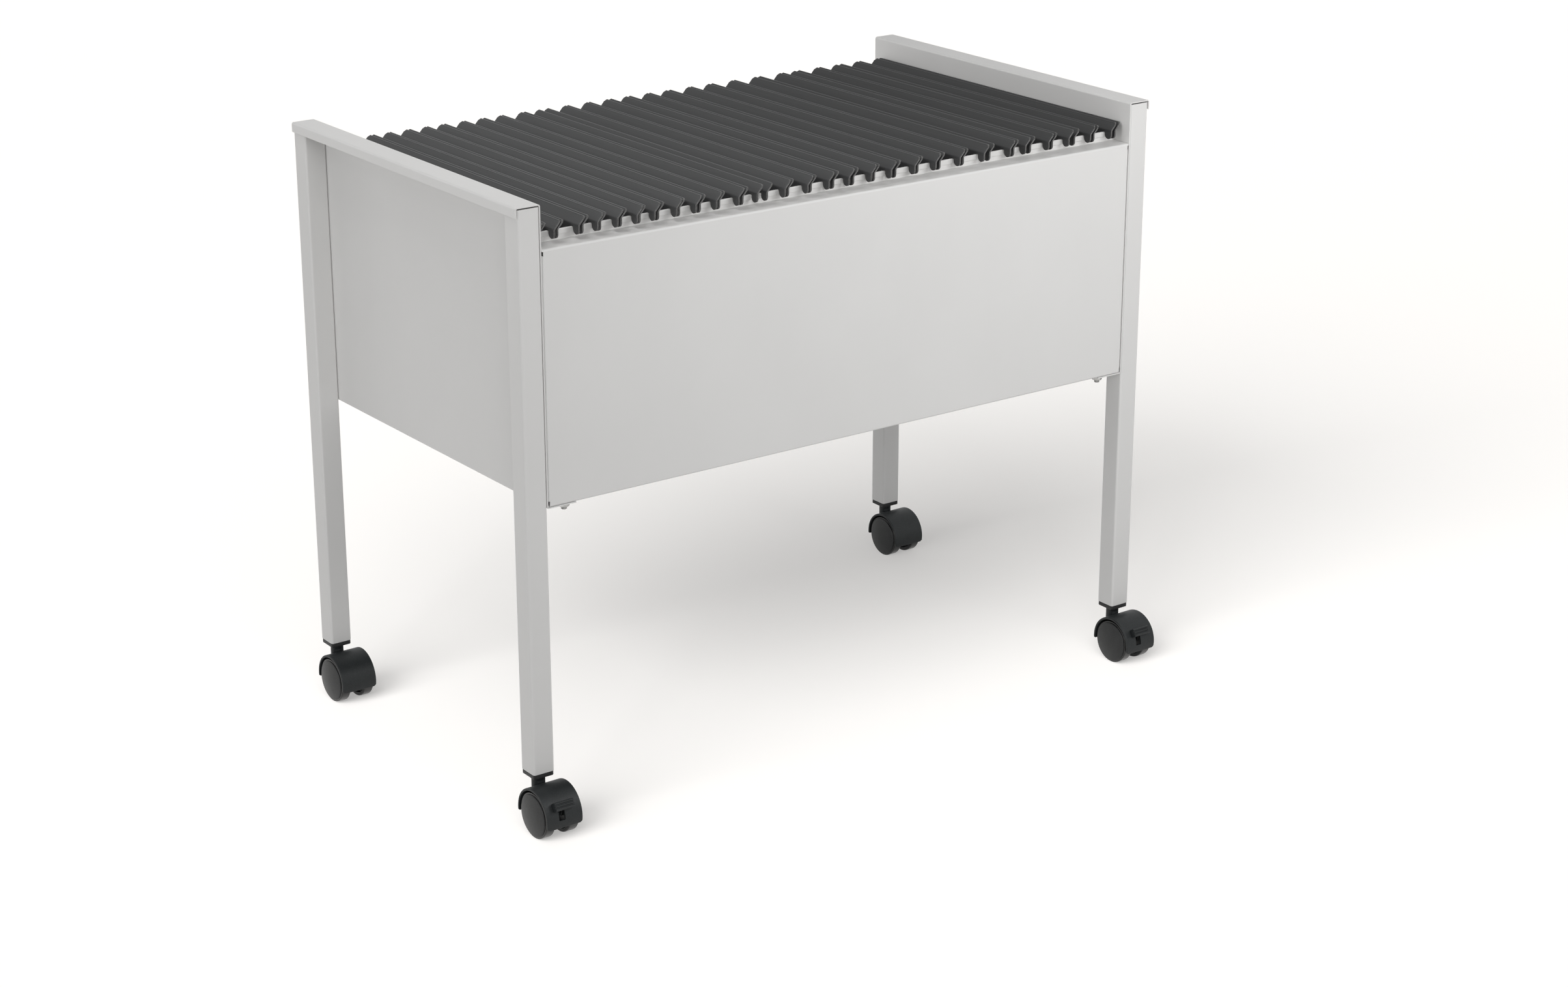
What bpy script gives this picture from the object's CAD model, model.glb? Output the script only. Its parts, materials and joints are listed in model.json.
"""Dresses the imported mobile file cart: painted sheet, tubes, casters and suspension files on a pale floor."""

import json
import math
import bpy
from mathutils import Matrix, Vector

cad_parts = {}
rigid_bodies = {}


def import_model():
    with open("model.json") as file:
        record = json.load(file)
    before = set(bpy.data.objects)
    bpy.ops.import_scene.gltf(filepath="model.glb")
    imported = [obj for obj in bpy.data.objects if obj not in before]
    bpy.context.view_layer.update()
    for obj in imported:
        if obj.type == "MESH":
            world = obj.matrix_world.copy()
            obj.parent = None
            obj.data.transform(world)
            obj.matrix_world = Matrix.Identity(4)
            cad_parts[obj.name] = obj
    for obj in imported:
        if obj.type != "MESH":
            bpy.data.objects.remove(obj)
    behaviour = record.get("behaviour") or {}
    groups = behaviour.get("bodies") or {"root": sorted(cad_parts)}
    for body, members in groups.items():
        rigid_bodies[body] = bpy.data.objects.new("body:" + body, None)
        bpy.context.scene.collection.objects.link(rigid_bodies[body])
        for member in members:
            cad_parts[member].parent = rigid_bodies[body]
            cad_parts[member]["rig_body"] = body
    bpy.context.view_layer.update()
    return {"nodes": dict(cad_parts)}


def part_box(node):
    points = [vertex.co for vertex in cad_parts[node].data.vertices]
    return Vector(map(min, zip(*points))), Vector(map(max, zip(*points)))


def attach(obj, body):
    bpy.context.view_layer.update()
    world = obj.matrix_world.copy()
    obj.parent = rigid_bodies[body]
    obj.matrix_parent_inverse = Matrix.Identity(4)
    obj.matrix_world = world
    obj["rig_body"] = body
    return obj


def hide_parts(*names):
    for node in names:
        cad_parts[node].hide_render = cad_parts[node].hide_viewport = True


bl_info = {
    "name": "Mobile file cart",
    "version": (1, 0, 0),
    "blender": (4, 5, 0),
    "location": "3D View > Sidebar > File cart",
    "description": "Builds the finished surfaces of a mobile file cart over its packed frame",
    "category": "Add Mesh",
}

import bmesh
import bpy
from mathutils import Vector

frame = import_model()

MM = 0.001
# Points nearer than WELD, in millimetres, are joined, and faces that meet at less than FLAT are one face
WELD, FLAT = 0.002, math.radians(0.5)
CORNERS = ("front_left", "front_right", "rear_left", "rear_right")
BRAKED = CORNERS[:2]
FILES = sorted(name for name in frame["nodes"] if name.startswith("hanging_file_"))


# Shading


class Value:
    """A socket of a shader tree. Python's operators on it add Math nodes."""

    def __init__(self, shading, socket):
        self.shading, self.socket = shading, socket

    def __add__(self, other):
        return self.shading.maths("ADD", self, other)

    def __radd__(self, other):
        return self.shading.maths("ADD", other, self)

    def __mul__(self, other):
        return self.shading.maths("MULTIPLY", self, other)

    def __rmul__(self, other):
        return self.shading.maths("MULTIPLY", other, self)


class Shading:
    """A shader tree, and the one call that adds any node to it."""

    def __init__(self, tree):
        self.tree = tree
        tree.nodes.clear()

    def node(self, kind, settings=None, values=None, out=0):
        """Adds a node, makes its settings, fills its sockets, and returns one of its outputs."""
        node = self.tree.nodes.new(kind)
        for key, setting in (settings or {}).items():
            if key == "stops":
                ramp = node.color_ramp.elements
                while len(ramp) < len(setting):
                    ramp.new(0.5)
                for stop, (place, shade) in zip(ramp, setting):
                    stop.position, stop.color = place, (shade, shade, shade, 1)
            else:
                setattr(node, key, setting)
        for key, value in (values or {}).items():
            if isinstance(value, Value):
                self.tree.links.new(value.socket, node.inputs[key])
            else:
                node.inputs[key].default_value = value
        return Value(self, node.outputs[out] if node.outputs else None)

    def maths(self, operation, first, second):
        return self.node("ShaderNodeMath", {"operation": operation}, {0: first, 1: second})

    def place(self):
        """The point on the piece, in metres, in the frame's own axes."""
        return self.node("ShaderNodeTexCoord", out="Object")

    def seen(self):
        """1 for a ray from the camera, off a glossy surface or through a clear one, and 0 for any other."""
        kinds = ("Camera", "Glossy", "Transmission")
        camera, glossy, clear = [self.node("ShaderNodeLightPath", out=f"Is {kind} Ray") for kind in kinds]
        settings = {"operation": "ADD", "use_clamp": True}
        return self.node("ShaderNodeMath", settings, {0: camera + glossy, 1: clear})

    def stretched(self, sizes):
        """The same point, counted in steps of these lengths."""
        steps = tuple(1 / size for size in sizes)
        settings = {"operation": "MULTIPLY"}
        return self.node("ShaderNodeVectorMath", settings, {0: self.place(), 1: steps})

    def grain(self, size, detail=2.0, roughness=0.5):
        """Noise from 0 to 1, whose patches have this length, or these along the three axes, in metres."""
        point = self.stretched(size if isinstance(size, tuple) else (size,) * 3)
        values = {"Vector": point, "Scale": 1.0, "Detail": detail, "Roughness": roughness}
        return self.node("ShaderNodeTexNoise", None, values, out="Fac")

    def ramp(self, value, low, high, shades=(0.0, 1.0)):
        """The first shade up to low, the second from high, and an even passage between them."""
        return self.node("ShaderNodeValToRGB", {"stops": list(zip((low, high), shades))}, {"Fac": value})

    def colour(self, factor, first, second):
        """A mix of two colours."""
        return self.node("ShaderNodeMix", {"data_type": "RGBA"}, {0: factor, 6: first, 7: second}, out=2)

    def relief(self, height, depth, strength=1.0, normal=None):
        """A normal from a height of 0 to 1 that stands for this depth, in metres."""
        values = {"Height": height, "Distance": depth, "Strength": strength}
        if normal:
            values["Normal"] = normal
        return self.node("ShaderNodeBump", None, values, out="Normal")


def finish_of(name, **sockets):
    """A material whose shader takes these values, or what these functions of its shading give.
    Underscores in the names of the sockets stand for spaces."""
    material = bpy.data.materials.new(name)
    material.use_nodes = True
    shading = Shading(material.node_tree)
    made = {key.replace("_", " "): make(shading) if callable(make) else make for key, make in sockets.items()}
    shader = shading.node("ShaderNodeBsdfPrincipled", None, made)
    shading.node("ShaderNodeOutputMaterial", None, {"Surface": shader})
    return material


def solid(colour, share=1.0):
    """The colour, or a share of it, with nothing let through."""
    return tuple(channel * share for channel in colour[:3]) + (1.0,)


def powder_coat(name, colour, roughness, peel):
    """Baked powder paint: faint clouds in the colour, and a fine orange peel that the gloss shows."""
    cloud, rub, dimple, wave = (0.09, 0.09, 0.12), 0.006, 0.0022, 0.012
    darker, lighter = 0.985, 1.012

    def body(s):
        clouds = s.ramp(s.grain(cloud, 3.0), 0.3, 0.7)
        return s.colour(clouds, solid(colour, darker), solid(colour, lighter))

    return finish_of(
        name,
        Base_Color=body,
        Roughness=lambda s: roughness - 0.04 + 0.08 * s.grain(rub),
        Specular_IOR_Level=0.4,
        Normal=lambda s: s.relief(
            s.grain(dimple, 1.0, 0.4),
            peel,
            normal=s.relief(s.grain(wave, 1.0), 3 * peel, 0.5),
        ),
    )


def moulded_plastic(name, colour, roughness, gloss, texture, depth):
    """Black moulded plastic: a spark-eroded texture, and a bloom that lightens it in patches.
    texture and depth are the length and depth of its grains, in millimetres."""
    patch, speck, rub = (0.011, 0.009, 0.011), 0.0009, 0.003
    darker, lighter, dusty, dust_share = 0.84, 1.2, 1.7, 0.6

    def body(s):
        bloom = s.ramp(s.grain(patch, 3.0), 0.35, 0.75)
        dust = s.ramp(s.grain(speck, 1.0), 0.45, 0.72)
        bloomed = s.colour(bloom, solid(colour, darker), solid(colour, lighter))
        return s.colour(dust * dust_share, bloomed, solid(colour, dusty))

    return finish_of(
        name,
        Base_Color=body,
        Roughness=lambda s: roughness - 0.06 + 0.12 * s.grain(rub, 3.0),
        Specular_IOR_Level=gloss,
        Normal=lambda s: s.relief(s.grain(texture * MM, 2.0, 0.6), depth * MM),
    )


def plated_steel(name, colour, roughness):
    """Zinc plate: faint drawing marks round the axis, and a little tarnish."""
    patch, rub, mark = (0.003, 0.003, 0.002), (0.002, 0.002, 0.0003), (0.004, 0.004, 0.00025)
    tarnished, mark_depth = 0.72, 0.004 * MM

    def body(s):
        tarnish = s.ramp(s.grain(patch, 4.0), 0.35, 0.7)
        return s.colour(tarnish, solid(colour), solid(colour, tarnished))

    return finish_of(
        name,
        Base_Color=body,
        Metallic=1.0,
        Roughness=lambda s: roughness - 0.05 + 0.14 * s.grain(rub, 3.0),
        Normal=lambda s: s.relief(s.grain(mark), mark_depth),
    )


def file_card(name, colour, sheen):
    """Coated card: long fine streaks from the rolling, a tone of its own on each file, and a fibre grain.
    The cards on the left have faded a little."""
    streak, tone, rub = (0.00045, 0.16, 0.00045), (0.03, 0.9, 0.5), (0.0012, 0.05, 0.0012)
    groove, fibre = (0.0007, 0.05, 0.0007), (0.0004, 0.0008, 0.0004)
    groove_depth, fibre_depth = 0.02 * MM, 0.006 * MM
    tray_length, faded_share, streak_share = 0.6, 0.8, 0.35

    def body(s):
        streaks = s.ramp(s.grain(streak, 3.0, 0.7), 0.3, 0.75)
        tones = s.ramp(s.grain(tone, 1.0), 0.35, 0.65)
        across = s.node("ShaderNodeSeparateXYZ", None, {"Vector": s.place()}, out="X")
        faded = s.ramp(across * (1 / tray_length) + 0.5, 0.0, 1.0, (1.0, 0.0))
        toned = s.colour(tones, solid(colour, 0.88), solid(colour, 1.12))
        clouded = s.colour(faded * faded_share, toned, solid(colour, 3.0))
        return s.colour(streaks * streak_share, clouded, solid(colour, 2.2))

    return finish_of(
        name,
        Base_Color=body,
        Roughness=lambda s: 0.47 + 0.14 * s.grain(rub, 3.0),
        Specular_IOR_Level=sheen,
        Normal=lambda s: s.relief(
            s.grain(groove, 3.0, 0.6),
            groove_depth,
            normal=s.relief(s.grain(fibre), fibre_depth),
        ),
    )


def cut_card(name, colour):
    """The raw edge of the card, where the coating is cut through and its light core shows."""
    fibre, rub, nap, nap_depth = (0.0005, 0.003, 0.0008), 0.001, 0.0004, 0.02 * MM

    def body(s):
        core = s.ramp(s.grain(fibre, 3.0), 0.35, 0.7)
        return s.colour(core, solid(colour, 0.4), solid(colour, 1.4))

    return finish_of(
        name,
        Base_Color=body,
        Roughness=lambda s: 0.7 + 0.2 * s.grain(rub),
        Normal=lambda s: s.relief(s.grain(nap), nap_depth),
    )


# Mesh work. Sizes are in millimetres until a piece is finished.


def from_cad(node):
    """A copy of a node's mesh in millimetres, with its triangles joined to whole faces."""
    bm = bmesh.new()
    bm.from_mesh(frame["nodes"][node].data)
    bmesh.ops.scale(bm, vec=(1 / MM,) * 3, verts=bm.verts)
    bmesh.ops.remove_doubles(bm, verts=bm.verts, dist=WELD)
    bmesh.ops.dissolve_limit(bm, angle_limit=FLAT, verts=bm.verts, edges=bm.edges)
    return bm


def rounded(bm, width, segments=2, sharp=35.0, only=None):
    """Rounds the edges that are sharper than this many degrees, or only those of them that are chosen."""
    edges = [
        e
        for e in bm.edges
        if len(e.link_faces) == 2 and e.calc_face_angle() > math.radians(sharp) and (only is None or only(e))
    ]
    bmesh.ops.bevel(
        bm,
        geom=edges,
        offset=width,
        offset_type="OFFSET",
        segments=segments,
        profile=0.5,
        affect="EDGES",
        clamp_overlap=False,
    )
    bmesh.ops.remove_doubles(bm, verts=bm.verts, dist=WELD)
    return bm


def turned(bm, rings, place, segments, finish=0, bored=False):
    """Adds a turned form. Each ring is (radius, height), or a function of the angle that gives them.
    place turns the form's own (across, across, height) into a point of the piece. A bored form joins
    its last ring to its first, and any other has closed ends. finish is the number of a finish, or a
    function that gives it for the number of a ring."""
    loops = []
    for ring in rings:
        loop = []
        for k in range(segments):
            turn = 2 * math.pi * k / segments
            radius, height = ring(turn) if callable(ring) else ring
            loop.append(bm.verts.new(place(radius * math.cos(turn), radius * math.sin(turn), height)))
        loops.append(loop)
    faces = []

    def add_face(index, corners):
        face = bm.faces.new(corners)
        face.material_index = finish(index) if callable(finish) else finish
        faces.append(face)

    for index, loop in enumerate(loops if bored else loops[:-1]):
        after = loops[(index + 1) % len(loops)]
        for k in range(segments):
            n = (k + 1) % segments
            add_face(index, (loop[k], loop[n], after[n], after[k]))
    if not bored:
        add_face(0, loops[0])
        add_face(len(loops) - 1, loops[-1])
    bmesh.ops.recalc_face_normals(bm, faces=faces)


def formed_sheet(bm, outline, path, start, thickness, place):
    """Adds a sheet that is cut to an outline of (across, along) and bent to a path of (x, z), where
    along counts from start. place turns (across, x, z) into a point of the piece. The faces take the
    first finish, and the cut edge all round takes the second."""
    on_bend, shortest_mitre, rim = 1e-4, 0.3, 1
    stops = [start]
    for a, b in zip(path, path[1:]):
        stops.append(stops[-1] + math.dist(a, b))
    runs = []
    for a, b, before, after in zip(path, path[1:], stops, stops[1:]):
        length = after - before
        runs.append(((b[0] - a[0]) / length, (b[1] - a[1]) / length))
    flat = bmesh.new()
    flat.faces.new([flat.verts.new((u, v, 0)) for u, v in outline])
    for stop in stops[1:-1]:
        geometry = flat.verts[:] + flat.edges[:] + flat.faces[:]
        bmesh.ops.bisect_plane(flat, geom=geometry, dist=1e-5, plane_co=(0, stop, 0), plane_no=(0, 1, 0))

    def bent(u, v, side):
        index = max(i for i in range(len(runs)) if i == 0 or v > stops[i] - on_bend)
        run = runs[index]
        point = [path[index][k] + run[k] * (v - stops[index]) for k in (0, 1)]
        if index and abs(v - stops[index]) < on_bend:
            before = runs[index - 1]
            middle = Vector((run[0] + before[0], run[1] + before[1])).normalized()
            shift = side * thickness / 2 / max(shortest_mitre, middle.dot(Vector(run)))
            run = middle
        else:
            shift = side * thickness / 2
        return place(u, point[0] - shift * run[1], point[1] + shift * run[0])

    skins = [{v: bm.verts.new(bent(v.co.x, v.co.y, side)) for v in flat.verts} for side in (-1, 1)]
    faces = []
    for skin in skins:
        for face in flat.faces:
            faces.append(bm.faces.new([skin[v] for v in face.verts]))
    for edge in flat.edges:
        if edge.is_boundary:
            a, b = edge.verts
            made = bm.faces.new((skins[0][a], skins[0][b], skins[1][b], skins[1][a]))
            made.material_index = rim
            faces.append(made)
    flat.free()
    bmesh.ops.recalc_face_normals(bm, faces=faces)


def piece(name, bm, body, finishes, stands_for, crease=32.0):
    """Turns the mesh into an object that rides on a body and stands for CAD nodes.
    Faces that meet at more than crease, in degrees, keep their edge."""
    bmesh.ops.scale(bm, vec=(MM,) * 3, verts=bm.verts)
    mesh = bpy.data.meshes.new(name)
    bm.to_mesh(mesh)
    bm.free()
    for finish in finishes:
        mesh.materials.append(finish)
    mesh.shade_smooth()
    mesh.set_sharp_from_angle(angle=math.radians(crease))
    made = bpy.data.objects.new(name, mesh)
    bpy.context.scene.collection.objects.link(made)
    shading = made.modifiers.new("Even shading", "WEIGHTED_NORMAL")
    shading.keep_sharp = True
    shading.weight = 80
    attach(made, body)
    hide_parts(*stands_for)


def paint_node(node, finish):
    """Gives a CAD node that stays in view its finish."""
    mesh = frame["nodes"][node].data
    mesh.materials.clear()
    mesh.materials.append(finish)


def corner_box(node):
    """The node's lowest and highest corners, in millimetres."""
    low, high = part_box(node)
    return low / MM, high / MM


def body_of(node):
    return frame["nodes"][node]["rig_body"]


# What a user would change


class SheetSettings(bpy.types.PropertyGroup):
    colour: bpy.props.FloatVectorProperty(
        name="Paint", description="Colour of the powder paint on the sheet", subtype="COLOR", size=3,
        min=0, max=1, default=(0.68, 0.675, 0.665),
    )
    tube_colour: bpy.props.FloatVectorProperty(
        name="Tube paint", description="Colour of the powder paint on the legs", subtype="COLOR", size=3,
        min=0, max=1, default=(0.665, 0.66, 0.65),
    )
    roughness: bpy.props.FloatProperty(
        name="Roughness", description="Roughness of the paint", subtype="FACTOR", min=0, max=1, default=0.42
    )
    peel: bpy.props.FloatProperty(
        name="Orange peel", description="Depth of the paint's orange peel", unit="LENGTH", precision=6,
        min=0, max=0.1 * MM, default=0.003 * MM,
    )
    edge: bpy.props.FloatProperty(
        name="Edge rounding", description="Rounding of the sheet's cut edges", unit="LENGTH", precision=5,
        min=0.05 * MM, max=0.45 * MM, default=0.28 * MM,
    )


class CasterSettings(bpy.types.PropertyGroup):
    hood_colour: bpy.props.FloatVectorProperty(
        name="Hood", description="Colour of the hoods and pedals", subtype="COLOR", size=3, min=0, max=1,
        default=(0.0105, 0.0125, 0.0132),
    )
    wheel_colour: bpy.props.FloatVectorProperty(
        name="Wheels", description="Colour of the wheel discs", subtype="COLOR", size=3, min=0, max=1,
        default=(0.0155, 0.0165, 0.0168),
    )
    plug_colour: bpy.props.FloatVectorProperty(
        name="Leg plugs", description="Colour of the plugs in the legs", subtype="COLOR", size=3, min=0, max=1,
        default=(0.0135, 0.0138, 0.0142),
    )
    steel_colour: bpy.props.FloatVectorProperty(
        name="Steel", description="Colour of stems, axles and screws", subtype="COLOR", size=3, min=0, max=1,
        default=(0.47, 0.47, 0.46),
    )
    edge: bpy.props.FloatProperty(
        name="Edge rounding", description="Rounding of the moulded edges", unit="LENGTH", precision=5,
        min=0.05 * MM, max=0.45 * MM, default=0.3 * MM,
    )


class FileSettings(bpy.types.PropertyGroup):
    colour: bpy.props.FloatVectorProperty(
        name="Card", description="Colour of the coated card", subtype="COLOR", size=3, min=0, max=1,
        default=(0.033, 0.0334, 0.0338),
    )
    cut_colour: bpy.props.FloatVectorProperty(
        name="Cut edge", description="Colour of the card's raw edge", subtype="COLOR", size=3, min=0, max=1,
        default=(0.17, 0.168, 0.165),
    )
    sheen: bpy.props.FloatProperty(
        name="Gloss", description="Gloss of the card's coating", subtype="FACTOR", min=0, max=1, default=0.2
    )
    ply: bpy.props.FloatProperty(
        name="Ply", description="Thickness of one ply of a file's edge", unit="LENGTH", precision=5,
        min=0.3 * MM, max=0.55 * MM, default=0.5 * MM,
    )
    cover: bpy.props.FloatProperty(
        name="Cover", description="Thickness of a file's cover", unit="LENGTH", precision=5,
        min=0.2 * MM, max=0.38 * MM, default=0.36 * MM,
    )


class StageSettings(bpy.types.PropertyGroup):
    floor_colour: bpy.props.FloatVectorProperty(
        name="Floor", description="Colour of the floor", subtype="COLOR", size=3, min=0, max=1,
        default=(0.97, 0.948, 0.922),
    )
    white_colour: bpy.props.FloatVectorProperty(
        name="Floor white", description="Colour of the even white that is laid over the floor", subtype="COLOR",
        size=3, min=0, max=1, default=(1.0, 0.988, 0.974),
    )
    floor_bounce: bpy.props.FloatProperty(
        name="Floor bounce", description="Share of light that the floor throws back on the cart",
        subtype="FACTOR", min=0, max=1, default=0.45,
    )
    floor_white: bpy.props.FloatProperty(
        name="Share of floor white", description="Share of the even white that the camera sees in the floor",
        subtype="FACTOR", min=0, max=0.9, default=0.38,
    )
    sky: bpy.props.FloatProperty(name="Sky", description="Level of the even light", min=0, max=1, default=0.1)
    floor_light: bpy.props.FloatProperty(
        name="Floor light", description="Strength of the broad light that casts the shadow on the floor",
        min=0, max=10, default=5.45,
    )
    near_lamp: bpy.props.FloatProperty(
        name="Near lamp", description="Power of the small soft box near the right half of the front panel",
        unit="POWER", min=0, max=500, default=4.4,
    )
    front_lamp: bpy.props.FloatProperty(
        name="Front lamp", description="Power of the large soft box in front", unit="POWER",
        min=0, max=500, default=35,
    )
    left_lamp: bpy.props.FloatProperty(
        name="Left lamp", description="Power of the large soft box on the left", unit="POWER",
        min=0, max=500, default=55,
    )
    top_lamp: bpy.props.FloatProperty(
        name="Top lamp", description="Power of the soft box above the left end", unit="POWER",
        min=0, max=500, default=2.7,
    )
    back_lamps: bpy.props.FloatProperty(
        name="Back lamps", description="Power of each of the two large soft boxes behind and on the right",
        unit="POWER", min=0, max=500, default=85,
    )
    camera_place: bpy.props.FloatVectorProperty(
        name="Camera", description="Place of the camera", subtype="TRANSLATION", unit="LENGTH", size=3,
        default=(-1.49665, -2.1373, 1.11076),
    )
    camera_turn: bpy.props.FloatProperty(
        name="Camera turn", description="Turn of the camera from straight ahead to the right", subtype="ANGLE",
        default=math.radians(36.089),
    )
    camera_tilt: bpy.props.FloatProperty(
        name="Camera tilt", description="Tilt of the camera below the horizon", subtype="ANGLE",
        default=math.radians(19.732),
    )
    lens: bpy.props.FloatProperty(
        name="Lens", description="Focal length on a 36 mm sensor", unit="CAMERA", min=20, max=300,
        default=69.784,
    )


SETTINGS = {
    "file_cart_sheet": SheetSettings,
    "file_cart_casters": CasterSettings,
    "file_cart_files": FileSettings,
    "file_cart_stage": StageSettings,
}


def finish_once(name, make, **values):
    """The named finish, made the first time that a piece asks for it."""
    return bpy.data.materials.get(name) or make(name, **values)


def sheet_paint(context):
    s = context.scene.file_cart_sheet
    return finish_once("Sheet powder coat", powder_coat, colour=s.colour, roughness=s.roughness, peel=s.peel)


def tube_paint(context):
    """The same paint as on the sheet, a little rougher."""
    s = context.scene.file_cart_sheet
    roughness, peel = s.roughness + 0.04, s.peel * 1.3
    return finish_once("Tube powder coat", powder_coat, colour=s.tube_colour, roughness=roughness, peel=peel)


def steel(context):
    colour = context.scene.file_cart_casters.steel_colour
    return finish_once("Zinc plate", plated_steel, colour=colour, roughness=0.34)


def plastic(name, colour, roughness, texture, depth, gloss=0.3):
    """The named moulded plastic."""
    values = {"roughness": roughness, "gloss": gloss, "texture": texture, "depth": depth}
    return finish_once(name, moulded_plastic, colour=colour, **values)


def hood_plastic(context):
    colour = context.scene.file_cart_casters.hood_colour
    return plastic("Hood plastic", colour, roughness=0.5, texture=0.45, depth=0.032)


# Pieces


class AddEndPanels(bpy.types.Operator):
    """Add the two bent end panels with their caps and lips"""

    bl_idname = "file_cart.end_panels"
    bl_label = "End panels"

    def execute(self, context):
        for side in ("left", "right"):
            node = f"end_panel_{side}"
            bm = rounded(from_cad(node), context.scene.file_cart_sheet.edge / MM)
            piece(f"painted_end_panel_{side}", bm, "frame", [sheet_paint(context)], [node])
        return {"FINISHED"}


class AddLongPanels(bpy.types.Operator):
    """Add the front and back panels with their ledges and rails"""

    bl_idname = "file_cart.long_panels"
    bl_label = "Front and back panels"

    # The tall edges of a side flange lie this near to the panel's side and are longer than this.
    # What lies this near to the flange's end stays sharp
    side_gap, tall, end_gap = 1.2, 150, 0.05

    def execute(self, context):
        for side in ("front", "back"):
            node = f"{side}_panel"
            bm = from_cad(node)
            # The flanges end where the tube hides them, so their ends stay sharp
            ends = self.flange_ends(bm)

            def off_the_ends(edge):
                return all(abs(v.co.z - end) > self.end_gap for v in edge.verts for end in ends)

            rounded(bm, context.scene.file_cart_sheet.edge / MM, only=off_the_ends)
            piece(f"painted_{side}_panel", bm, "frame", [sheet_paint(context)], [node])
        return {"FINISHED"}

    def flange_ends(self, bm):
        """Heights of the lower and upper ends of the side flanges."""
        inside = max(v.co.x for v in bm.verts) - self.side_gap
        heights = []
        for first, second in (e.verts for e in bm.edges):
            if abs(first.co.x) > inside and abs(first.co.z - second.co.z) > self.tall:
                heights += [first.co.z, second.co.z]
        return min(heights), max(heights)


class AddLegs(bpy.types.Operator):
    """Add the four square tubes"""

    bl_idname = "file_cart.legs"
    bl_label = "Legs"

    def execute(self, context):
        for corner in CORNERS:
            bm = rounded(from_cad(f"leg_{corner}"), context.scene.file_cart_sheet.edge / MM)
            name = f"painted_leg_{corner}"
            piece(name, bm, "frame", [tube_paint(context)], [f"leg_{corner}"])
        return {"FINISHED"}


class AddLegPlugs(bpy.types.Operator):
    """Add the plastic plugs in the feet of the legs"""

    bl_idname = "file_cart.leg_plugs"
    bl_label = "Leg plugs"

    def execute(self, context):
        casters = context.scene.file_cart_casters
        finish = plastic("Plug plastic", casters.plug_colour, roughness=0.42, texture=0.5, depth=0.01)
        bm = rounded(from_cad("leg_plugs"), 2 * casters.edge / MM, segments=3)
        piece("moulded_leg_plugs", bm, "frame", [finish], ["leg_plugs"])
        return {"FINISHED"}


class AddScrews(bpy.types.Operator):
    """Add the four corner screws with their nuts"""

    bl_idname = "file_cart.screws"
    bl_label = "Corner screws"

    # Radii and heights, in millimetres
    head_r, head_h, shank_r = 4.75, 2.8, 2.45
    pitch, crest, thread_depth, tip_h = 0.8, 0.12, 0.35, 0.5
    socket_r, socket_depth, nut_r, soft = 1.6, 1.5, 4.0, 0.15
    # Rings of the round head, as the distances in from its side and up from its foot
    head_profile = ((0.2, 0.0), (0.0, 0.25), (0.0, 1.1), (0.35, 1.9), (1.1, 2.5), (2.1, 2.8))

    def execute(self, context):
        high = corner_box("corner_bolts")[1]
        screws, nuts = bmesh.new(), bmesh.new()
        for side_x in (-1, 1):
            for side_y in (-1, 1):
                x, y = side_x * (high.x - self.head_r), side_y * (high.y - self.head_r)

                def place(a, b, h):
                    return (x + a, y + b, h)

                turned(screws, self.screw_rings(), place, segments=48)
                turned(nuts, self.nut_rings(), place, segments=48, bored=True)
        for name, bm, node in (("plated_screws", screws, "corner_bolts"), ("plated_nuts", nuts, "corner_nuts")):
            piece(name, bm, "frame", [steel(context)], [node], crease=25)
        return {"FINISHED"}

    def hexagon(self, radius, height, flare=0.0):
        """A six-sided ring. A flare, as a slope, takes its corners down, or up if it is below 0."""

        def ring(turn):
            reach = radius / math.cos((turn + math.pi / 6) % (math.pi / 3) - math.pi / 6)
            return reach, height - flare * (reach - radius)

        return ring

    def screw_rings(self):
        """The screw from its tip up: the thread to just above the nut, the shank, the head and its socket."""
        low, high = corner_box("corner_bolts")
        shank_r, root_r = self.shank_r, self.shank_r - self.thread_depth
        head_foot = high.z - self.head_h
        rings = [(shank_r - 0.55, low.z), (shank_r - 0.3, low.z + 0.25)]
        z = low.z + self.tip_h
        while z < corner_box("corner_nuts")[0].z + 0.3:
            rings += [(shank_r, z), (shank_r, z + self.crest)]
            rings += [(root_r, z + self.pitch / 2), (root_r, z + self.pitch / 2 + self.crest)]
            z += self.pitch
        rings += [(shank_r, z), (shank_r, head_foot)]
        rings += [(self.head_r - inward, head_foot + up) for inward, up in self.head_profile]
        rings += [
            (self.socket_r + 0.4, high.z),
            self.hexagon(self.socket_r, high.z - self.soft),
            self.hexagon(self.socket_r - 0.05, high.z - self.socket_depth),
        ]
        return rings

    def nut_rings(self):
        """The nut, with its corners chamfered at 30 degrees above and below."""
        low, high = corner_box("corner_nuts")
        flare = math.tan(math.radians(30))
        bore_r = self.shank_r + 0.1
        return [
            (self.nut_r - self.soft, low.z),
            self.hexagon(self.nut_r, low.z + 0.1, -flare),
            self.hexagon(self.nut_r, high.z - 0.1, flare),
            (self.nut_r - self.soft, high.z),
            (bore_r, high.z),
            (bore_r, low.z),
        ]


class AddStems(bpy.types.Operator):
    """Add the steel stems on which the casters swivel"""

    bl_idname = "file_cart.stems"
    bl_label = "Caster stems"

    def execute(self, context):
        edge = 0.2
        bm = rounded(from_cad("swivel_stems"), edge)
        piece("plated_stems", bm, "frame", [steel(context)], ["swivel_stems"])
        return {"FINISHED"}


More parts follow.
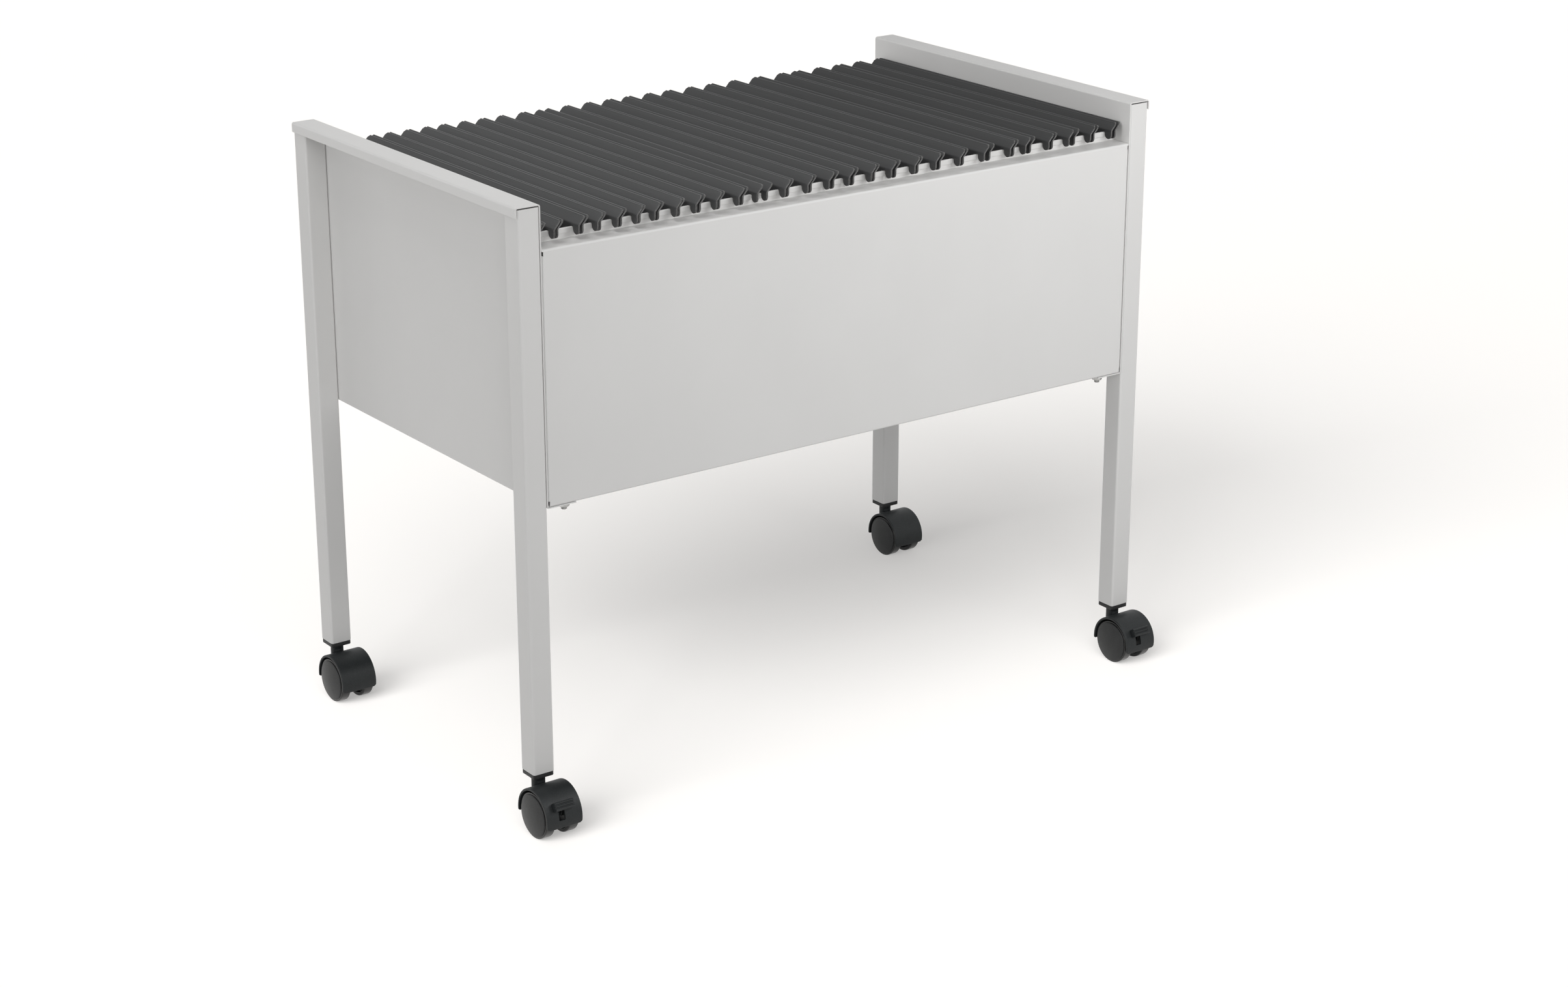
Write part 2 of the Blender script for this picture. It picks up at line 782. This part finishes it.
class AddHoods(bpy.types.Operator):
    """Add the hoods of the four casters, and finish their axles"""

    bl_idname = "file_cart.hoods"
    bl_label = "Caster hoods"

    def execute(self, context):
        edge = context.scene.file_cart_casters.edge / MM
        finish = hood_plastic(context)
        for corner in CORNERS:
            node = f"caster_hood_{corner}"
            bm = rounded(from_cad(node), edge, segments=3, sharp=28.0)
            leg_low, leg_high = corner_box(f"leg_{corner}")
            self.add_neck_groove(bm, (leg_low + leg_high) / 2, corner_box(node)[1].z)
            piece(f"moulded_hood_{corner}", bm, body_of(node), [finish], [node])
            paint_node(f"axle_{corner}", steel(context))
        return {"FINISHED"}

    def add_neck_groove(self, bm, axis, top):
        """The groove round the neck, under the collar of the stem."""
        neck_h, neck_r, bore_share = 6, 9, 0.8
        depth, half_height, middle = 0.5, 0.45, top - 2.6

        def on_neck(v):
            return v.co.z > top - neck_h and math.dist(v.co.xy, axis.xy) < neck_r

        for height in (middle - half_height, middle, middle + half_height):
            faces = [f for f in bm.faces if all(on_neck(v) for v in f.verts)]
            edges = list(dict.fromkeys(e for f in faces for e in f.edges))
            verts = list(dict.fromkeys(v for f in faces for v in f.verts))
            place = {"plane_co": (0, 0, height), "plane_no": (0, 0, 1)}
            bmesh.ops.bisect_plane(bm, geom=faces + edges + verts, dist=1e-4, **place)
        ring = [v for v in bm.verts if on_neck(v) and abs(v.co.z - middle) < 1e-3]
        reach = max(math.dist(v.co.xy, axis.xy) for v in ring)
        for v in ring:
            # The neck's own side goes in, and its bore stays
            if math.dist(v.co.xy, axis.xy) > bore_share * reach:
                v.co.xy = axis.xy + (v.co.xy - axis.xy) * (1 - depth / reach)


class AddWheels(bpy.types.Operator):
    """Add the eight wheels: tread, shoulder, domed disc, and a recess round the hub inside"""

    bl_idname = "file_cart.wheels"
    bl_label = "Wheels"

    # Radii, widths and depths, in millimetres
    bore_r, hub_r, rim_w, recess_depth = 3.05, 6.5, 3, 5
    shoulder_depth, disc_in, dome_in, dome_h = 3.0, 1.75, 0.5, 1.94
    dome_steps, soft, fillet = 12, 0.3, 0.5

    def execute(self, context):
        colour = context.scene.file_cart_casters.wheel_colour
        disc = plastic("Disc plastic", colour, roughness=0.4, texture=0.6, depth=0.006)
        values = {"roughness": 0.16, "gloss": 0.4, "texture": 0.9, "depth": 0.003}
        tread = plastic("Tread plastic", solid(colour, 0.35), **values)
        for corner in CORNERS:
            for side in ("outer", "inner"):
                node = f"wheel_{corner}_{side}"
                low, high = corner_box(node)
                outward = -1 if (corner.endswith("left")) == (side == "outer") else 1
                foot = low.x if outward > 0 else high.x
                middle_y, middle_z = (low.y + high.y) / 2, (low.z + high.z) / 2

                def place(a, b, h):
                    return (foot + outward * h, middle_y + a, middle_z + b)

                rings, tread_from, tread_to = self.rings((high.z - low.z) / 2, high.x - low.x)
                bm = bmesh.new()
                turned(bm, rings, place, 96, lambda index: 1 if tread_from <= index < tread_to else 0)
                piece(f"moulded_{node}", bm, body_of(node), [disc, tread], [node])
        return {"FINISHED"}

    def rings(self, radius, width):
        """The wheel's rings, as (radius, distance from its inner side), and the first and last of the tread."""
        bore_r, hub_r, recess_r = self.bore_r, self.hub_r, radius - self.rim_w
        disc_r, shoulder = radius - self.disc_in, width - self.shoulder_depth
        depth, soft, fillet = self.recess_depth, self.soft, self.fillet
        dome_r = disc_r - self.dome_in
        reaches = [soft] + [dome_r * k / self.dome_steps for k in range(1, self.dome_steps + 1)]
        rings = [(reach, width - self.dome_h * (reach / dome_r) ** 2) for reach in reaches]
        rings += [(disc_r - 0.22, width - 2.1), (disc_r - 0.06, width - 2.3), (disc_r + 0.02, width - 2.55)]
        tread_from = len(rings) - 1
        rings += [(disc_r + 0.05, shoulder + 0.12), (disc_r + 0.15, shoulder), (radius - 0.9, shoulder)]
        rings += [(radius - 0.4, shoulder - 0.12), (radius - 0.1, shoulder - 0.5), (radius, shoulder - 1.0)]
        rings += [(radius, 1.1), (radius - 0.12, 0.55), (radius - 0.5, 0.15), (radius - 1.1, 0)]
        tread_to = len(rings) - 1
        rings += [(recess_r + 0.4, 0), (recess_r, 0.4), (recess_r, depth - fillet), (recess_r - fillet, depth)]
        rings += [(hub_r + fillet, depth), (hub_r + 0.1, depth - 0.4), (hub_r, soft), (hub_r - soft, 0)]
        rings += [(bore_r + soft, 0), (bore_r, soft), (bore_r, width - 2.1)]
        return rings, tread_from, tread_to


class AddPedals(bpy.types.Operator):
    """Add the ridged brake pedals of the front casters"""

    bl_idname = "file_cart.pedals"
    bl_label = "Brake pedals"

    def execute(self, context):
        edge = 0.7 * context.scene.file_cart_casters.edge / MM
        for corner in BRAKED:
            node = f"brake_pedal_{corner}"
            bm = rounded(from_cad(node), edge, sharp=40.0)
            piece(f"moulded_pedal_{corner}", bm, body_of(node), [hood_plastic(context)], [node])
        return {"FINISHED"}


class AddFiles(bpy.types.Operator):
    """Add the suspension files: two plies and a rolled rod on each edge, and a folded cover"""

    bl_idname = "file_cart.files"
    bl_label = "Suspension files"

    # Sizes of a file, in millimetres. An edge stands on its plies and leans over to its rod, so edge_w
    # is how far it reaches from the plies. Drops count down: top to rod, rod to bend, bend to seat
    edge_w, edge_thickness = 7.4, 1.4
    rod_ahead, rod_drop, bend_drop, seat_drop = 6.3, 1.1, 6.2, 2.2
    rod_r, bore_r, rod_in = 0.65, 0.3, 3.2
    strip_half, strip_h, hook_w, hook_h = 160.8, 3.8, 7.9, 5.8
    chamfer, notch = 2.6, 0.4
    cover_half, cover_drop, cover_fold = 160, 0.6, 1.2

    def execute(self, context):
        settings = context.scene.file_cart_files
        colour, sheen = settings.colour, settings.sheen
        finishes = [
            finish_once("File card", file_card, colour=colour, sheen=sheen),
            finish_once("Cut card", cut_card, colour=settings.cut_colour),
            finish_once("Rod steel", plated_steel, colour=(0.12, 0.12, 0.12), roughness=0.5),
            finish_once("Rolled card", file_card, colour=solid(colour, 1.3), sheen=1.5 * sheen),
        ]
        for node in FILES:
            low, high = corner_box(node)
            bm = bmesh.new()
            right = high.x - self.edge_w
            pitch = high.x - low.x - self.edge_w
            for base in (right - pitch, right):
                self.add_edge(bm, base, high.y, high.z, settings.ply / MM)
            self.add_cover(bm, right, pitch, low.z, high.z, settings.cover / MM)
            piece(f"card_{node}", bm, body_of(node), finishes, [node], crease=25)
        return {"FINISHED"}

    def add_edge(self, bm, base, half, top, ply):
        """One reinforced edge: two bent plies with their hooks, the roll at the top and its rod."""
        rod_x, rod_z = base + self.rod_ahead, top - self.rod_drop
        bend = rod_z - self.bend_drop
        seat = bend - self.seat_drop
        strip_foot, hook_foot = seat - self.strip_h, seat - self.hook_h
        slant = Vector((5.6, self.bend_drop)).normalized()
        bend_r, bend_steps, roll_gap = 0.55, 4, 0.5
        for x in (base + ply / 2, base + self.edge_thickness - ply / 2):
            reach = (Vector((rod_x, rod_z)) - Vector((x, bend))).dot(slant) - roll_gap
            path = [(x, hook_foot), (x, bend - bend_r)]
            for k in range(1, bend_steps):
                turn = k / bend_steps
                before, after = Vector((0, -bend_r * (1 - turn))), slant * bend_r * turn
                path.append((x + (before + after).x, bend + before.y + after.y))
            path += [(x + slant.x * length, bend + slant.y * length) for length in (bend_r, reach)]
            along = hook_foot + sum(math.dist(a, b) for a, b in zip(path, path[1:]))
            cut_from = along - (path[-1][1] - (top - self.chamfer)) / slant.y
            outline = self.ply_outline(half, hook_foot, strip_foot, seat, along, cut_from, slant.y)
            formed_sheet(bm, outline, path, hook_foot, ply, lambda u, px, pz: (px, u, pz))

        def place(a, b, h):
            z = rod_z + b
            end = half - max(0.0, z - (top - self.chamfer))
            return (rod_x + a, max(-end, min(end, h)), z)

        roll = [(self.rod_r, -half), (self.rod_r, half), (self.bore_r, half), (self.bore_r, -half)]
        turned(bm, roll, place, 20, lambda index: 3 if index in (0, 2) else 1, bored=True)
        wire_r, wire_half = self.bore_r - 0.04, half - self.rod_in
        turned(bm, [(wire_r, -wire_half), (wire_r, wire_half)], place, 12, 2)

    def ply_outline(self, half, hook_foot, strip_foot, seat, along, cut_from, slope):
        """A ply laid flat: its strip, a round-ended hook at each end, and the chamfers above them."""
        hook_w, notch, strip_half = self.hook_w, self.notch, self.strip_half
        hook_r = hook_w / 2
        arc = [
            (half - hook_r + hook_r * math.sin(a), hook_foot + hook_r - hook_r * math.cos(a))
            for a in [math.radians(-90 + 15 * k) for k in range(13)]
        ]
        points = [
            (strip_half, strip_foot), (strip_half, seat - notch), (strip_half + notch, seat),
            (half - hook_w - notch, seat), (half - hook_w, seat - notch), *arc,
            (half, cut_from), (half - (along - cut_from) * slope, along),
        ]
        return points + [(-u, v) for u, v in reversed(points)]

    def add_cover(self, bm, right, pitch, foot, top, thickness):
        """The folded cover, held between the plies of both edges."""
        upper = top - self.rod_drop - self.bend_drop - self.seat_drop - self.cover_drop
        bottom = foot + thickness / 2
        near = right + self.edge_thickness / 2
        far = near - pitch
        fold, steps = min(self.cover_fold, pitch / 2.2), 5
        turns = [math.pi / 2 * k / steps for k in range(steps + 1)]
        path = [(far, upper)]
        path += [(far + fold * (1 - math.cos(t)), bottom + fold * (1 - math.sin(t))) for t in turns]
        path += [(near - fold * (1 - math.sin(t)), bottom + fold * (1 - math.cos(t))) for t in turns]
        path.append((near, upper))
        along = sum(math.dist(a, b) for a, b in zip(path, path[1:]))
        half = self.cover_half
        outline = [(-half, 0), (half, 0), (half, along), (-half, along)]
        formed_sheet(bm, outline, path, 0.0, thickness, lambda u, px, pz: (px, u, pz))


class AddStage(bpy.types.Operator):
    """Add the floor, the soft lamps, the pale surround and the camera"""

    bl_idname = "file_cart.stage"
    bl_label = "Stage"

    def execute(self, context):
        scene, settings = context.scene, context.scene.file_cart_stage
        self.add_floor(scene, settings)
        self.add_surround(scene, settings)
        self.add_lamps(scene, settings)
        self.add_camera(scene, settings)
        scene.view_settings.view_transform = "Standard"
        return {"FINISHED"}

    def add_camera(self, scene, settings):
        camera = bpy.data.objects.new("Camera", bpy.data.cameras.new("Camera"))
        camera.data.sensor_width = 36
        camera.data.lens = settings.lens
        camera.data.clip_end = 100
        camera.location = settings.camera_place
        camera.rotation_euler = (math.pi / 2 - settings.camera_tilt, 0, -settings.camera_turn)
        scene.collection.objects.link(camera)
        scene.camera = camera

    def add_floor(self, scene, settings):
        """A wide pale disc. The camera sees it with a share of even white, which leaves the shadow in it."""
        bm = bmesh.new()
        radius, segments = 40.0, 96
        turns = [2 * math.pi * k / segments for k in range(segments)]
        bm.faces.new([bm.verts.new((radius * math.cos(t), radius * math.sin(t), 0)) for t in turns])
        mesh = bpy.data.meshes.new("Floor")
        bm.to_mesh(mesh)
        bm.free()
        material = bpy.data.materials.new("Pale floor")
        material.use_nodes = True
        s = Shading(material.node_tree)
        seen = s.seen()
        cloudy = s.grain(0.4)
        shade = s.colour(cloudy, solid(settings.floor_colour, 0.99), solid(settings.floor_colour))
        bounced = s.colour(seen, solid((settings.floor_bounce,) * 3), shade)
        values = {"Base Color": bounced, "Roughness": 0.75, "Specular IOR Level": 0.2}
        body = s.node("ShaderNodeBsdfPrincipled", None, values)
        white = s.node("ShaderNodeEmission", None, {"Color": solid(settings.white_colour), "Strength": 1.0})
        mixed = s.node("ShaderNodeMixShader", None, {0: seen * settings.floor_white, 1: body, 2: white})
        s.node("ShaderNodeOutputMaterial", None, {"Surface": mixed})
        mesh.materials.append(material)
        floor = bpy.data.objects.new("Floor", mesh)
        scene.collection.objects.link(floor)

    def add_surround(self, scene, settings):
        """A faint even light on the cart, which is white where it is seen or mirrored."""
        world = bpy.data.worlds.new("Pale surround")
        world.use_nodes = True
        scene.world = world
        s = Shading(world.node_tree)
        lit = s.colour(s.seen(), solid((settings.sky,) * 3), solid((1, 1, 1)))
        light = s.node("ShaderNodeBackground", None, {"Color": lit, "Strength": 1.0})
        s.node("ShaderNodeOutputWorld", None, {"Surface": light})

    def add_lamps(self, scene, settings):
        """The suns reach the floor alone and cast its shadow. The soft boxes reach the cart alone."""
        floor = bpy.data.objects["Floor"]
        boxes_reach = bpy.data.collections.new("All but the floor")
        suns_reach = bpy.data.collections.new("The floor alone")
        for reach in (boxes_reach, suns_reach):
            reach.objects.link(floor)
        boxes_reach.collection_objects[0].light_linking.link_state = "EXCLUDE"
        # Name, share of the floor light, spread, and place
        suns = (
            ("Floor light high", 0.29, math.radians(60), Vector((-0.9, -1.0, 1.9))),
            ("Floor light front", 0.14, math.radians(25), Vector((-1.0, -1.1, 1.5))),
            ("Floor light left", 0.57, math.radians(40), Vector((-1.6, -0.5, 1.2))),
        )
        for name, share, angle, place in suns:
            strength = share * settings.floor_light
            lamp = self.add_lamp(scene, name, "SUN", strength, place, Vector((0, 0, 0.3)), suns_reach)
            lamp.angle = angle
        # Name, power, side in metres, place, and the point it is turned to
        boxes = (
            ("Near lamp", settings.near_lamp, 0.5, Vector((0.35, -0.9, 0.85)), Vector((0.15, -0.18, 0.4))),
            ("Front lamp", settings.front_lamp, 1.8, Vector((-1.4, -3.2, 1.9)), Vector((0, -0.1, 0.4))),
            ("Left lamp", settings.left_lamp, 2.0, Vector((-5.0, -0.5, 1.4)), Vector((0, 0, 0.3))),
            ("Top lamp", settings.top_lamp, 0.5, Vector((-0.4, 0.0, 1.3)), Vector((-0.2, 0, 0.5))),
            ("Right lamp", settings.back_lamps, 2.0, Vector((4.4, 0.6, 1.0)), Vector((0, 0, 0.3))),
            ("Back lamp", settings.back_lamps, 2.0, Vector((-0.6, 4.4, 1.0)), Vector((0, 0, 0.3))),
        )
        for name, power, size, place, target in boxes:
            lamp = self.add_lamp(scene, name, "AREA", power, place, target, boxes_reach)
            lamp.shape, lamp.size = "SQUARE", size
        # Kept out of reflections, so that edges seen at a low angle carry no hard glints
        for name in ("Right lamp", "Back lamp"):
            bpy.data.objects[name].visible_glossy = False

    def add_lamp(self, scene, name, kind, strength, place, target, reach):
        lamp = bpy.data.lights.new(name, kind)
        lamp.energy = strength
        made = bpy.data.objects.new(name, lamp)
        made.location = place
        made.rotation_euler = (place - target).to_track_quat("Z", "Y").to_euler()
        made.visible_camera = False
        made.light_linking.receiver_collection = reach
        scene.collection.objects.link(made)
        return lamp


OPERATORS = (
    AddEndPanels,
    AddLongPanels,
    AddLegs,
    AddLegPlugs,
    AddScrews,
    AddStems,
    AddHoods,
    AddWheels,
    AddPedals,
    AddFiles,
    AddStage,
)


class FileCartPanel(bpy.types.Panel):
    """Lists the pieces of the cart in the sidebar"""

    bl_idname = "VIEW3D_PT_file_cart"
    bl_label = "File cart"
    bl_space_type = "VIEW_3D"
    bl_region_type = "UI"
    bl_category = "File cart"

    def draw(self, context):
        for operator in OPERATORS:
            self.layout.operator(operator.bl_idname)
        for name, group in SETTINGS.items():
            box = self.layout.box()
            for key in group.__annotations__:
                box.prop(getattr(context.scene, name), key)


def register():
    for cls in (*SETTINGS.values(), *OPERATORS, FileCartPanel):
        bpy.utils.register_class(cls)
    for name, group in SETTINGS.items():
        setattr(bpy.types.Scene, name, bpy.props.PointerProperty(type=group))


def unregister():
    for name in SETTINGS:
        delattr(bpy.types.Scene, name)
    for cls in (FileCartPanel, *reversed(OPERATORS), *reversed(SETTINGS.values())):
        bpy.utils.unregister_class(cls)


def main():
    register()
    for operator in OPERATORS:
        group, name = operator.bl_idname.split(".")
        getattr(getattr(bpy.ops, group), name)()


if __name__ == "__main__":
    main()
